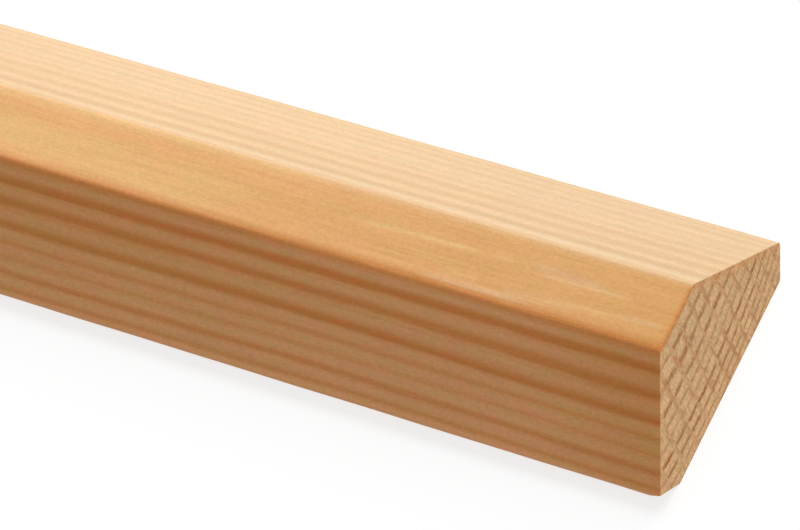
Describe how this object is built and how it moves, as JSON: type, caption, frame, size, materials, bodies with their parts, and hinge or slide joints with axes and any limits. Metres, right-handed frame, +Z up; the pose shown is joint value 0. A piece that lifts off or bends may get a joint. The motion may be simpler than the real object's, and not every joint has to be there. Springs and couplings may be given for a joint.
{
  "type": "triangular bead moulding",
  "caption": "Long pine moulding of right-angled triangular section, with a chamfered right-angled corner and two blunt tips.",
  "frame": {"origin": "middle of the length and of the overall width, on the back face that the stick lies on", "axes": "+X along the stick, towards the end that the picture shows; +Y across the back, towards the wide leg's tip; +Z up, out of the corner chamfer"},
  "size_m": [2.4, 0.0282, 0.0129],
  "materials": {
    "pine": "planed bare pine, with sawn ends"
  },
  "bodies": {
    "root": {"triangular_bead": "pine"}
  },
  "joints": []
}
